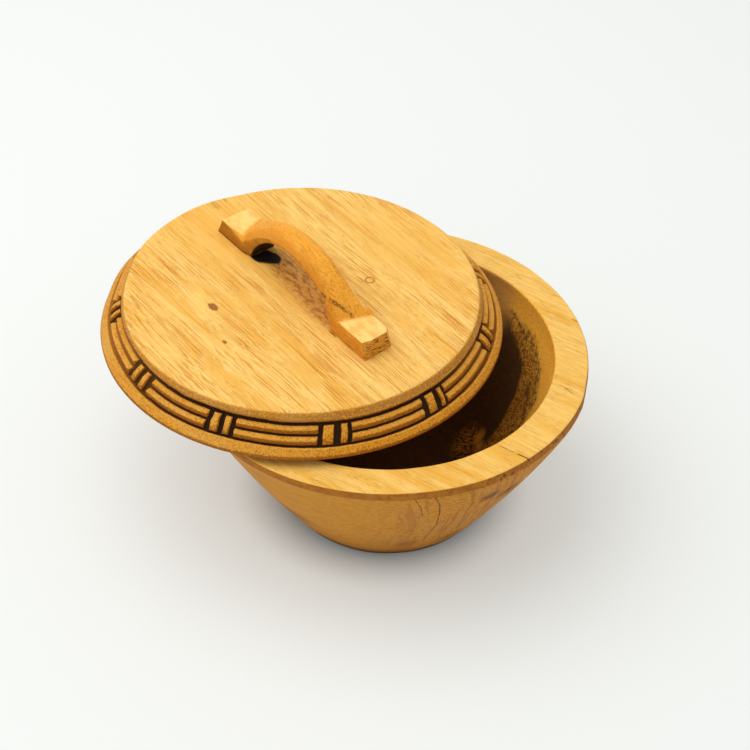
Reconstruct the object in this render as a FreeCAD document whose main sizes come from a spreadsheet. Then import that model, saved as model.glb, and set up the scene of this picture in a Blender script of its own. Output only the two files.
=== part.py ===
import FreeCAD, Part
import os
import Sketcher
from FreeCAD import Vector, Placement, Rotation

# A carved wooden bowl with a loose lid and a bridge handle glued on the lid.
# Origin: the centre of the bowl's flat foot, on the table. +Z is up, millimetres.
# The lid lies off to one side, level on the bowl's flat rim, as it was put down.

doc = FreeCAD.newDocument("lidded_bowl")
sizes = doc.addObject("Spreadsheet::Sheet", "sizes")

drivingSizes = {
    # the bowl, cut from one block
    "rim_radius": 110,
    "rim_width": 17.5,
    "rim_band": 5,
    "bowl_height": 98.5,
    "foot_radius": 56.5,
    "flank_bulge": 2.5,
    "floor_thickness": 14,
    "floor_radius": 38,
    "hollow_bulge": 9,
    "mouth_land": 8,
    "foot_round": 3,
    "rim_round": 1.2,
    "floor_round": 12,
    # the lid: a step that drops into the mouth, and a wide disc over it
    "seat_clearance": 1,
    "step_height": 4,
    "lid_radius": 109,
    "lid_thickness": 21,
    "edge_height": 2,
    "edge_round": 0.9,
    "top_radius": 95.3,
    "bevel_run": 2.2,
    "bevel_drop": 4.5,
    "top_round": 0.8,
    # the carved band on the lid's sloping edge
    "lip_width": 4.8,
    "groove_width": 1.9,
    "groove_depth": 2.2,
    "rail_shoulder": 0.9,
    "rail_sink": 0.2,
    "shelf_width": 0.4,
    "tie_count": 11,
    "tie_pocket_angle": 10.4,
    "tie_bar_angle": 2.3,
    "tie_gap_angle": 2.2,
    # the handle: two block feet and an arched strap
    "handle_length": 137,
    "handle_width": 19,
    "handle_height": 33,
    "foot_block_height": 11,
    "foot_block_flat": 22,
    "grip_length": 77,
    "grip_height": 25,
    "strap_round": 3.2,
    "block_round": 0.8,
    # where the lid was put down, and how the handle sits on it
    "lid_shift_x": -45,
    "lid_shift_y": 17,
    "lid_turn_angle": -76.9,
    "handle_shift_x": 0.6,
    "handle_shift_y": 4.4,
    "handle_turn_angle": -52.2,
}
for row, (alias, value) in enumerate(drivingSizes.items(), start=1):
    sizes.set("A%d" % row, alias)
    sizes.set("B%d" % row, str(value))
    sizes.setAlias("B%d" % row, alias)
doc.recompute()


def size(alias):
    return float(sizes.get(alias))


def newBody(label):
    body = doc.addObject("PartDesign::Body", label)
    body.Label = label
    return body


def originPart(body, role):
    # a plane or an axis of the body's own origin
    return next(part for part in body.Origin.OriginFeatures if part.Role == role)


def uprightSketch(body, name):
    # the XZ plane: sketch X is the way out from the axis, sketch Y is up
    sketch = body.newObject("Sketcher::SketchObject", name)
    sketch.AttachmentSupport = [(originPart(body, "XZ_Plane"), "")]
    sketch.MapMode = "FlatFace"
    doc.recompute()
    return sketch


def pin(sketch, curve, end, direction, formula):
    # holds one end of a curve at a distance from the sketch's origin
    value = float(sketch.evalExpression(formula))
    kind = "Distance" + direction
    if abs(value) < 1e-9:
        axis = {"X": -2, "Y": -1}[direction]
        sketch.addConstraint(Sketcher.Constraint("PointOnObject", curve, end, axis))
    elif value > 0:
        index = sketch.addConstraint(Sketcher.Constraint(kind, -1, 1, curve, end, value))
        sketch.setExpression("Constraints[%d]" % index, formula)
    else:
        index = sketch.addConstraint(Sketcher.Constraint(kind, curve, end, -1, 1, -value))
        sketch.setExpression("Constraints[%d]" % index, "-(%s)" % formula)


def outline(sketch, corners):
    # a closed outline through the corners, given as formulas of the sheet's sizes: (x, y) starts a
    # straight side and (x, y, bulge) an arc that stands out by bulge to the right of its way
    points = []
    for corner in corners:
        x, y = (float(sketch.evalExpression(formula)) for formula in corner[:2])
        points.append(Vector(x, y, 0))
    for index, corner in enumerate(corners):
        start, end = points[index], points[(index + 1) % len(points)]
        if len(corner) == 2:
            sketch.addGeometry(Part.LineSegment(start, end), False)
            continue
        chord = end - start
        outward = Vector(chord.y, -chord.x, 0).normalize()
        bulge = float(sketch.evalExpression(corner[2]))
        top = (start + end) * 0.5 + outward * bulge
        sketch.addGeometry(Part.Arc(start, top, end), False)
    # an arc is stored counter-clockwise, so its first end is the one that a positive bulge starts at
    for index, corner in enumerate(corners):
        following = (index + 1) % len(corners)
        starts = startOf(corners[following])
        sketch.addConstraint(Sketcher.Constraint("Coincident", index, endOf(corner), following, starts))
        pin(sketch, index, startOf(corner), "X", corner[0])
        pin(sketch, index, startOf(corner), "Y", corner[1])
    for index, corner in enumerate(corners):
        if len(corner) == 3:
            following = corners[(index + 1) % len(corners)]
            across = "(%s) - (%s)" % (following[0], corner[0])
            up = "(%s) - (%s)" % (following[1], corner[1])
            chordSquared = "((%s)^2 + (%s)^2)" % (across, up)
            bulge = "abs(%s)" % corner[2]
            radius = "%s / (8 * %s) + %s / 2" % (chordSquared, bulge, bulge)
            value = float(sketch.evalExpression(radius))
            constraint = sketch.addConstraint(Sketcher.Constraint("Radius", index, value))
            sketch.setExpression("Constraints[%d]" % constraint, radius)


def startOf(corner):
    return 2 if len(corner) == 3 and corner[2].startswith("-") else 1


def endOf(corner):
    return 3 - startOf(corner)


def turned(body, kind, name, sketch, angle="360"):
    # a Revolution or a Groove about the body's upright axis, half of its angle to each side
    feature = body.newObject("PartDesign::" + kind, name)
    feature.Profile = sketch
    feature.ReferenceAxis = (originPart(body, "Z_Axis"), [""])
    feature.Midplane = angle != "360"
    feature.setExpression("Angle", angle)
    feature.Refine = False
    body.Tip = feature
    doc.recompute()
    return feature


def rounded(body, name, base, edges, formula):
    feature = body.newObject("PartDesign::Fillet", name)
    feature.Base = (base, ["Edge%d" % number for number in edges])
    feature.setExpression("Radius", formula)
    body.Tip = feature
    doc.recompute()
    return feature


def ringEdges(shape, radius, height):
    # the numbers of the circular edges of this radius at this height
    found = []
    for number, edge in enumerate(shape.Edges, start=1):
        curve = edge.Curve
        if isinstance(curve, Part.Circle) and abs(curve.Radius - radius) < 1e-4:
            if abs(curve.Center.z - height) < 1e-4:
                found.append(number)
    return found


def makeBowl():
    body = newBody("bowl")
    section = uprightSketch(body, "bowl_section")
    mouth = "sizes.rim_radius - sizes.rim_width"
    landFoot = "sizes.bowl_height - sizes.mouth_land"
    bandFoot = "sizes.bowl_height - sizes.rim_band"
    outline(section, [
        ("0", "0"),
        ("sizes.foot_radius", "0", "sizes.flank_bulge"),
        ("sizes.rim_radius", bandFoot),
        ("sizes.rim_radius", "sizes.bowl_height"),
        (mouth, "sizes.bowl_height"),
        (mouth, landFoot, "-sizes.hollow_bulge"),
        ("sizes.floor_radius", "sizes.floor_thickness"),
        ("0", "sizes.floor_thickness"),
    ])
    blank = turned(body, "Revolution", "bowl_blank", section)
    mouthRadius = size("rim_radius") - size("rim_width")
    footEdge = ringEdges(blank.Shape, size("foot_radius"), 0)
    foot = rounded(body, "foot_edge", blank, footEdge, "sizes.foot_round")
    floorEdge = ringEdges(foot.Shape, size("floor_radius"), size("floor_thickness"))
    hollowFloor = rounded(body, "floor_edge", foot, floorEdge, "sizes.floor_round")
    rimEdges = ringEdges(hollowFloor.Shape, size("rim_radius"), size("bowl_height"))
    rimEdges += ringEdges(hollowFloor.Shape, mouthRadius, size("bowl_height"))
    rounded(body, "rim_edges", hollowFloor, rimEdges, "sizes.rim_round")
    return body


def makeLid():
    body = newBody("lid")
    section = uprightSketch(body, "lid_section")
    stepRadius = "sizes.rim_radius - sizes.rim_width - sizes.seat_clearance"
    edgeTop = "sizes.step_height + sizes.edge_height"
    top = "sizes.step_height + sizes.lid_thickness"
    bevelFoot = "sizes.top_radius + sizes.bevel_run"
    outline(section, [
        ("0", "0"),
        (stepRadius, "0"),
        (stepRadius, "sizes.step_height"),
        ("sizes.lid_radius", "sizes.step_height"),
        ("sizes.lid_radius", edgeTop),
        (bevelFoot, top + " - sizes.bevel_drop"),
        ("sizes.top_radius", top),
        ("0", top),
    ])
    blank = turned(body, "Revolution", "lid_blank", section)
    lidEdges = ringEdges(blank.Shape, size("lid_radius"), size("step_height"))
    lidEdges += ringEdges(blank.Shape, size("lid_radius"), size("step_height") + size("edge_height"))
    edge = rounded(body, "lid_edge", blank, lidEdges, "sizes.edge_round")
    topEdge = ringEdges(edge.Shape, size("top_radius"), size("step_height") + size("lid_thickness"))
    rounded(body, "top_edge", edge, topEdge, "sizes.top_round")
    carveBand(body)
    body.setExpression("Placement.Base.x", "sizes.lid_shift_x")
    body.setExpression("Placement.Base.y", "sizes.lid_shift_y")
    body.setExpression("Placement.Base.z", "sizes.bowl_height")
    body.Placement = Placement(Vector(0, 0, 0), Rotation(Vector(0, 0, 1), size("lid_turn_angle")))
    body.setExpression("Placement.Rotation.Angle", "sizes.lid_turn_angle")
    return body


# The band's sketches lie along the slope: X runs up the slope from the lid's edge, Y into the wood
bandRun = "(sizes.lid_radius - sizes.top_radius - sizes.bevel_run)"
bandRise = "(sizes.lid_thickness - sizes.bevel_drop - sizes.edge_height)"
bandLength = "sqrt(%s^2 + %s^2)" % (bandRun, bandRise)
carvedLength = "(%s - sizes.shelf_width)" % bandLength
railWidth = "((%s - sizes.lip_width - 3 * sizes.groove_width) / 2)" % carvedLength


def bandSketch(body, name):
    sketch = uprightSketch(body, name)
    sketch.AttachmentOffset = Placement(Vector(0, 0, 0), Rotation(Vector(0, 0, 1), 120))
    sketch.setExpression("AttachmentOffset.Base.x", "sizes.lid_radius")
    sketch.setExpression("AttachmentOffset.Base.y", "sizes.step_height + sizes.edge_height")
    sketch.setExpression("AttachmentOffset.Rotation.Angle", "atan2(%s; -%s)" % (bandRise, bandRun))
    doc.recompute()
    return sketch


def carveBand(body):
    # two round rails between three grooves, broken by ties: two short bars across a sunk pocket
    clear = "-2 * sizes.groove_depth"
    shoulder = "sizes.rail_shoulder"
    crest = "-(sizes.rail_shoulder - sizes.rail_sink)"
    lip = "sizes.lip_width"
    rings = bandSketch(body, "band_section")
    outline(rings, [
        (lip, clear),
        (lip, "0"),
        (lip + " + sizes.groove_width / 2", "sizes.groove_depth"),
        (lip + " + sizes.groove_width", shoulder, crest),
        (lip + " + sizes.groove_width + " + railWidth, shoulder),
        (lip + " + 1.5 * sizes.groove_width + " + railWidth, "sizes.groove_depth"),
        (lip + " + 2 * sizes.groove_width + " + railWidth, shoulder, crest),
        (lip + " + 2 * sizes.groove_width + 2 * " + railWidth, shoulder),
        (lip + " + 2.5 * sizes.groove_width + 2 * " + railWidth, "sizes.groove_depth"),
        (carvedLength, "0"),
        (carvedLength, clear),
    ])
    turned(body, "Groove", "rails_and_grooves", rings)

    pocketStart = lip + " + sizes.groove_width / 2"
    pocketEnd = carvedLength + " - sizes.groove_width / 2"
    pocketSection = bandSketch(body, "pocket_section")
    outline(pocketSection, [
        (pocketStart, clear),
        (pocketStart, "sizes.groove_depth"),
        (pocketEnd, "sizes.groove_depth"),
        (pocketEnd, clear),
    ])
    pocket = turned(body, "Groove", "tie_pocket", pocketSection, "sizes.tie_pocket_angle")

    barStart = lip + " + sizes.groove_width"
    barEnd = carvedLength + " - sizes.groove_width"
    barSection = bandSketch(body, "bar_section")
    outline(barSection, [
        (barStart, "2 * sizes.groove_depth"),
        (barStart, shoulder, crest),
        (barEnd, shoulder),
        (barEnd, "2 * sizes.groove_depth"),
    ])
    pairAngle = "2 * sizes.tie_bar_angle + sizes.tie_gap_angle"
    bars = turned(body, "Revolution", "tie_bars", barSection, pairAngle)

    gap = turned(body, "Groove", "tie_gap", pocketSection, "sizes.tie_gap_angle")

    ties = body.newObject("PartDesign::PolarPattern", "ties")
    ties.Originals = [pocket, bars, gap]
    ties.Axis = (originPart(body, "Z_Axis"), [""])
    ties.Angle = 360
    ties.setExpression("Occurrences", "sizes.tie_count")
    ties.Refine = False
    body.Tip = ties
    doc.recompute()


def blockEndEdges(shape):
    # the upright and top edges of the two blocks' outer ends
    halfLength = size("handle_length") / 2
    found = []
    for number, edge in enumerate(shape.Edges, start=1):
        middle = edge.CenterOfMass
        if abs(abs(middle.x) - halfLength) < 1e-4 and middle.z > 1e-4:
            found.append(number)
    return found


def makeHandle():
    body = newBody("handle")
    side = uprightSketch(body, "handle_side")
    halfLength = "sizes.handle_length / 2"
    strapFoot = halfLength + " - sizes.foot_block_flat"
    blockTop = "sizes.foot_block_height"
    outline(side, [
        ("-" + halfLength, "0"),
        ("-sizes.grip_length / 2", "0", "-sizes.grip_height"),
        ("sizes.grip_length / 2", "0"),
        (halfLength, "0"),
        (halfLength, blockTop),
        (strapFoot, blockTop, "sizes.handle_height - sizes.foot_block_height"),
        ("-(%s)" % strapFoot, blockTop),
        ("-" + halfLength, blockTop),
    ])
    bridge = body.newObject("PartDesign::Pad", "bridge")
    bridge.Profile = side
    bridge.setExpression("Length", "sizes.handle_width")
    bridge.Midplane = True
    body.Tip = bridge
    doc.recompute()
    strapEdges = [number for number, edge in enumerate(bridge.Shape.Edges, start=1)
                  if isinstance(edge.Curve, Part.Circle)]
    strap = rounded(body, "strap_edges", bridge, strapEdges, "sizes.strap_round")
    rounded(body, "block_edges", strap, blockEndEdges(strap.Shape), "sizes.block_round")
    body.setExpression("Placement.Base.x", "sizes.lid_shift_x + sizes.handle_shift_x")
    body.setExpression("Placement.Base.y", "sizes.lid_shift_y + sizes.handle_shift_y")
    body.setExpression("Placement.Base.z",
                       "sizes.bowl_height + sizes.step_height + sizes.lid_thickness")
    body.Placement = Placement(Vector(0, 0, 0), Rotation(Vector(0, 0, 1), size("handle_turn_angle")))
    body.setExpression("Placement.Rotation.Angle", "sizes.handle_turn_angle")
    return body


pieces = [makeBowl(), makeLid(), makeHandle()]
doc.recompute()

for item in doc.Objects:
    failed = [state for state in item.State if state in ("Invalid", "Error")]
    if failed:
        raise RuntimeError("%s did not build: %s" % (item.Name, failed))
for piece in pieces:
    if piece.Shape.isNull() or not piece.Shape.isValid() or len(piece.Shape.Solids) != 1:
        raise RuntimeError("%s is not one sound solid" % piece.Label)

os.makedirs("parts", exist_ok=True)
for piece in pieces:
    piece.Shape.exportStep(os.path.join("parts", piece.Label + ".step"))
    box = piece.Shape.BoundBox
    print("%s: %.1f cm3, %.1f x %.1f x %.1f mm, z %.2f to %.2f" % (
        piece.Label, piece.Shape.Volume / 1000, box.XLength, box.YLength, box.ZLength, box.ZMin, box.ZMax))
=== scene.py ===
import math
import bmesh
import bpy
from mathutils import Matrix, Vector, noise


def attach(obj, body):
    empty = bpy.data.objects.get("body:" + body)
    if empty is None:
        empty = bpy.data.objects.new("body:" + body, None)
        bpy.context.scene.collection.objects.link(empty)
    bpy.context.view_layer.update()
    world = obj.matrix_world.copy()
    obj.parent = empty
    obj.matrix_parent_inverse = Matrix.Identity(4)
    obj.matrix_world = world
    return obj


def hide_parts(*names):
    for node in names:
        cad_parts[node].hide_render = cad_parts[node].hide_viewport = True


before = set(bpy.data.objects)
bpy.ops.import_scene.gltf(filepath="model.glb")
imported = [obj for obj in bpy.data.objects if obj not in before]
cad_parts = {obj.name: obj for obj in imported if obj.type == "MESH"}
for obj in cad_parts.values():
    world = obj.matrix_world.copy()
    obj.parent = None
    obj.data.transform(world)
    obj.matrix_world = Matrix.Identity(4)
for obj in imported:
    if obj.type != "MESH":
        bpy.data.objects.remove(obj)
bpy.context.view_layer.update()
mm = 0.001  # the dictionaries below hold millimetres and degrees
print("frame loaded:", sorted(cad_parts))


class Wire:
    # a value in a node tree: arithmetic on it adds Math nodes to the same tree

    def __init__(self, bench, socket):
        self.bench = bench
        self.socket = socket

    def __abs__(self):
        return self.bench.maths("ABSOLUTE", self)


def giveOperator(sign, operation):
    # lets a Wire stand on either side of a sign
    setattr(Wire, f"__{sign}__", lambda self, other: self.bench.maths(operation, self, other))
    setattr(Wire, f"__r{sign}__", lambda self, other: self.bench.maths(operation, other, self))


for sign, operation in (("add", "ADD"), ("sub", "SUBTRACT"), ("mul", "MULTIPLY"), ("truediv", "DIVIDE")):
    giveOperator(sign, operation)


class Bench:
    # adds nodes to one tree, and reads as the few tools that a wood grain or a carving needs

    def __init__(self, tree):
        self.tree = tree

    def add(self, kind, settings=None, sockets=None, output=0):
        # a node of this type: its settings first, then the values or links of its sockets
        node = self.tree.nodes.new(kind)
        for name, value in (settings or {}).items():
            if name == "curve":
                self.setCurve(node, value)
            else:
                setattr(node, name, value)
        shown = [socket for socket in node.inputs if socket.enabled]
        for key, value in (sockets or {}).items():
            socket = shown[key] if isinstance(key, int) else next(s for s in shown if s.name == key)
            if isinstance(value, Wire):
                self.tree.links.new(value.socket, socket)
            else:
                socket.default_value = value
        results = [socket for socket in node.outputs if socket.enabled]
        if isinstance(output, int):
            return Wire(self, results[output])
        return Wire(self, next(s for s in results if s.name == output))

    def setCurve(self, node, points):
        curve = node.mapping.curves[0]
        curve.points[0].location = points[0]
        curve.points[-1].location = points[-1]
        for place in points[1:-1]:
            curve.points.new(*place)
        for point in curve.points:
            point.handle_type = "VECTOR"
        node.mapping.update()

    def maths(self, operation, *terms):
        return self.add("ShaderNodeMath", {"operation": operation}, dict(enumerate(terms)))

    def greatest(self, first, *others):
        for other in others:
            first = self.maths("MAXIMUM", first, other)
        return first

    def clamped(self, value):
        return self.add("ShaderNodeMath", {"operation": "ADD", "use_clamp": True}, {0: value, 1: 0.0})

    def eased(self, value, low, high):
        # 0 below low, 1 above high, and smooth between them; turned round if low is the greater
        span = {"Value": value, "From Min": low, "From Max": high}
        if low > high:
            span = {"Value": value, "From Min": high, "From Max": low, "To Min": 1.0, "To Max": 0.0}
        return self.add("ShaderNodeMapRange", {"interpolation_type": "SMOOTHSTEP"}, span)

    def blended(self, factor, first, second):
        return self.add("ShaderNodeMix", {"data_type": "FLOAT"}, {0: factor, 1: first, 2: second})

    def mixed(self, factor, first, second):
        # a colour: the second laid over the first by the factor
        first, second = (c if isinstance(c, Wire) else (*c, 1.0) for c in (first, second))
        settings = {"data_type": "RGBA", "clamp_factor": True}
        return self.add("ShaderNodeMix", settings, {0: factor, 1: first, 2: second})

    def vector(self, operation, first, second=None, scale=None):
        sockets = {0: first}
        if second is not None:
            sockets[1] = second
        if scale is not None:
            sockets["Scale"] = scale
        return self.add("ShaderNodeVectorMath", {"operation": operation}, sockets)

    def measured(self, operation, *vectors):
        # one number from vectors: a length, a distance or a dot product
        sockets = dict(enumerate(vectors))
        return self.add("ShaderNodeVectorMath", {"operation": operation}, sockets, "Value")

    def joined(self, x, y, z):
        return self.add("ShaderNodeCombineXYZ", None, {0: x, 1: y, 2: z})

    def parts(self, vector):
        split = self.add("ShaderNodeSeparateXYZ", None, {0: vector})
        return [Wire(self, socket) for socket in split.socket.node.outputs]

    def noise(self, place, scale=1.0, detail=2.0, roughness=0.5, output=0):
        sockets = {"Vector": place, "Scale": scale, "Detail": detail, "Roughness": roughness}
        return self.add("ShaderNodeTexNoise", None, sockets, output)

    def cells(self, place, scale=1.0):
        return self.add("ShaderNodeTexVoronoi", None, {"Vector": place, "Scale": scale})

    def stretched(self, place, along, across, up=None):
        # the place scaled to texture size: a smaller number draws the pattern out
        return self.vector("MULTIPLY", place, (along, across, across if up is None else up))

    def readCurve(self, value, points):
        # reads a line of (place, size) points at the value; both are held inside 0 to 1 on the way
        first, last = points[0][0], points[-1][0]
        low = min(size for place, size in points)
        high = max(size for place, size in points)
        inside = [((place - first) / (last - first), (size - low) / (high - low)) for place, size in points]
        share = (value - first) / (last - first)
        curve = self.add("ShaderNodeFloatCurve", {"curve": inside}, {"Factor": 1.0, "Value": share})
        return curve * (high - low) + low

    def wrapped(self, degrees):
        # the same bearing between -180 and 180
        return self.maths("WRAP", degrees, 180.0, -180.0)

    def bump(self, angle, bearing, width):
        # 1 at this bearing in degrees, easing to 0 at the width to either side of it
        off = self.maths("COSINE", angle - math.radians(bearing))
        return self.eased(off, math.cos(math.radians(width)), 1.0)


def put(name, data):
    # a new object at the origin, in the scene
    thing = bpy.data.objects.new(name, data)
    bpy.context.scene.collection.objects.link(thing)
    return thing


# the camera, the light and the table that it stands on come first

view = {
    "pictureWidth": 750,
    "focalPixels": 2060,  # the lens, in pixels of that picture
    "sensorWidth": 36,
    "distance": 1108.8,
    "tilt": 40.7,
    "roll": 0.02,  # radians
    "aim": (384.5, 350.0),  # the pixel where the rim's centre stands
    "rimHeight": 98.5,
}


def setCamera():
    tilt = math.radians(view["tilt"])
    back = Vector((0, -math.cos(tilt), math.sin(tilt)))
    right = Vector((1, 0, 0))
    up = back.cross(right)
    turn, lean = math.cos(view["roll"]), math.sin(view["roll"])
    rows = Matrix((right * turn + up * lean, up * turn - right * lean, back))
    middle = view["pictureWidth"] / 2
    towards = Vector((
        (view["aim"][0] - middle) / view["focalPixels"],
        (middle - view["aim"][1]) / view["focalPixels"],
        -1,
    )).normalized()
    swing = Vector((0, 0, -1)).rotation_difference(towards).to_matrix()
    place = back * view["distance"] * mm + Vector((0, 0, view["rimHeight"] * mm))
    camera = put("camera", bpy.data.cameras.new("camera"))
    camera.data.sensor_width = view["sensorWidth"]
    camera.data.lens = view["focalPixels"] / view["pictureWidth"] * view["sensorWidth"]
    camera.data.clip_start = 0.01
    camera.matrix_world = Matrix.Translation(place) @ (swing @ rows).transposed().to_4x4()
    bpy.context.scene.camera = camera


studio = {
    "zenith": (0.70, 0.70, 0.695),
    "horizon": (1.02, 1.02, 1.01),
    "horizonBand": (-0.1, 0.8),
    "lampPlace": (-0.50, 0.05, 1.35),
    "lampAim": (0, 0, 0.08),
    "lampSize": 1.6,
    "lampPower": 14.0,
    "table": (0.50, 0.512, 0.498),
    "tableGlow": 0.33,  # the table glows though it is no lamp, a painted light; the glow fades out under the bowl, a painted contact shadow
    "glowColour": (0.97, 1.0, 0.975),
    "glowEdge": (0.046, 0.088),
    "tableSize": 40.0,
}


def setStudio():
    world = bpy.data.worlds.new("studio")
    world.use_nodes = True
    bench = Bench(world.node_tree)
    height = bench.parts(bench.add("ShaderNodeTexCoord", None, None, "Generated"))[2]
    rise = bench.eased(height, *studio["horizonBand"])
    light = bench.mixed(rise, studio["horizon"], studio["zenith"])
    world.node_tree.links.new(light.socket, world.node_tree.nodes["Background"].inputs["Color"])
    bpy.context.scene.world = world
    bpy.context.scene.view_settings.view_transform = "Standard"
    lamp = put("softbox", bpy.data.lights.new("softbox", "AREA"))
    lamp.data.shape = "DISK"
    lamp.data.size = studio["lampSize"]
    lamp.data.energy = studio["lampPower"]
    lamp.location = studio["lampPlace"]
    towards = Vector(studio["lampAim"]) - lamp.location
    lamp.rotation_euler = towards.to_track_quat("-Z", "Y").to_euler()


def layTable():
    reach = studio["tableSize"] / 2
    mesh = bpy.data.meshes.new("table_top")
    corners = [(-reach, -reach, 0), (reach, -reach, 0), (reach, reach, 0), (-reach, reach, 0)]
    mesh.from_pydata(corners, [], [(0, 1, 2, 3)])
    paper = bpy.data.materials.new("pale_card")
    paper.use_nodes = True
    bench = Bench(paper.node_tree)
    shader = paper.node_tree.nodes["Principled BSDF"]
    place = bench.add("ShaderNodeTexCoord", None, None, "Object")
    mottle = bench.noise(place, 9.0, 3.0)
    colour = bench.mixed(mottle, tuple(c * 0.99 for c in studio["table"]), studio["table"])
    paper.node_tree.links.new(colour.socket, shader.inputs["Base Color"])
    shader.inputs["Roughness"].default_value = 0.9
    shader.inputs["Specular IOR Level"].default_value = 0.1
    # painted light: the table glows, and the glow fades to nothing round the bowl's foot as a painted
    # contact shadow
    away = bench.measured("LENGTH", bench.vector("MULTIPLY", place, (1.0, 1.0, 0.0)))
    lit = bench.mixed(bench.eased(away, *studio["glowEdge"]), (0, 0, 0), studio["glowColour"])
    paper.node_tree.links.new(lit.socket, shader.inputs["Emission Color"])
    shader.inputs["Emission Strength"].default_value = studio["tableGlow"]
    mesh.materials.append(paper)
    table = put("table_top", mesh)


# wood: one way of drawing it, and a dictionary for each piece

bowlWood = {
    "centre": (0.0, 0.0, 98.5),
    "grainTurn": -35.0,
    "pith": (-372.0, -165.0),
    "fibre": (0.040, 1.1),  # how fast the fibres change along and across the grain, per mm
    "thread": (0.07, 2.4),
    "streaks": 0.34,
    "pale": (0.837, 0.522, 0.135),
    "warm": (0.756, 0.396, 0.059),
    "cream": (0.837, 0.558, 0.180),
    "deep": (0.414, 0.171, 0.023),
    "pore": (0.26, 0.095, 0.014),
    "side": (0.571, 0.248, 0.024),
    "sideDeep": (0.302, 0.097, 0.008),
    "bloom": (0.34, 0.165, 0.085),
    "sap": (1.0, 0.49, 0.055),
    "sapDeep": (0.80, 0.30, 0.026),
    "brown": (0.80, 0.34, 0.040),
    "brownDeep": (0.15, 0.048, 0.008),
    # near-black: partly heartwood, partly painted shade of the deep hollow
    "heart": (0.075, 0.036, 0.014),
    # painted shade of the lid on the hollow's back wall
    "mauve": (0.52, 0.29, 0.125),
    # painted light on the hollow's floor
    "lit": (0.97, 0.45, 0.050),
    "edge": (0.30, 0.095, 0.012),
    # a dark crust, also used as painted contact shadow at the foot
    "crust": (0.035, 0.014, 0.005),
    "crack": (0.10, 0.035, 0.008),
}
lidWood = {
    "centre": (-45.0, 17.0, 123.5),
    "grainTurn": -52.2,
    "pith": (-260.0, -70.0),
    "fibre": (0.022, 1.25),
    "thread": (0.036, 2.8),
    "streaks": 0.80,
    "pale": (0.837, 0.540, 0.153),
    "warm": (0.765, 0.414, 0.077),
    "cream": (0.837, 0.594, 0.216),
    "deep": (0.522, 0.198, 0.020),
    "pore": (0.32, 0.105, 0.012),
    "band": (0.636, 0.258, 0.012),
    "bandDeep": (0.292, 0.090, 0.005),
    "underside": (0.30, 0.115, 0.016),
    "stain": (0.030, 0.012, 0.004),
    "stainEdge": (0.34, 0.115, 0.010),
    "handling": (0.25, 0.068, 0.012),
    "bruise": (0.56, 0.215, 0.035),
    "soot": (0.012, 0.008, 0.006),
}
handleWood = {
    "centre": (-44.4, 21.4, 123.5),
    "grainTurn": -52.2,
    "pith": (-180.0, 60.0),
    "fibre": (0.05, 1.1),
    "thread": (0.10, 2.2),
    "streaks": 0.60,
    "pale": (0.79, 0.350, 0.034),
    "warm": (0.68, 0.265, 0.024),
    "cream": (0.82, 0.40, 0.055),
    "deep": (0.42, 0.135, 0.012),
    "pore": (0.16, 0.050, 0.008),
    "worn": (0.90, 0.57, 0.175),
    "shade": (0.50, 0.175, 0.014),
    "soot": (0.020, 0.011, 0.006),
    "endWood": (0.62, 0.27, 0.032),
    "split": (0.07, 0.024, 0.006),
}


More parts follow.
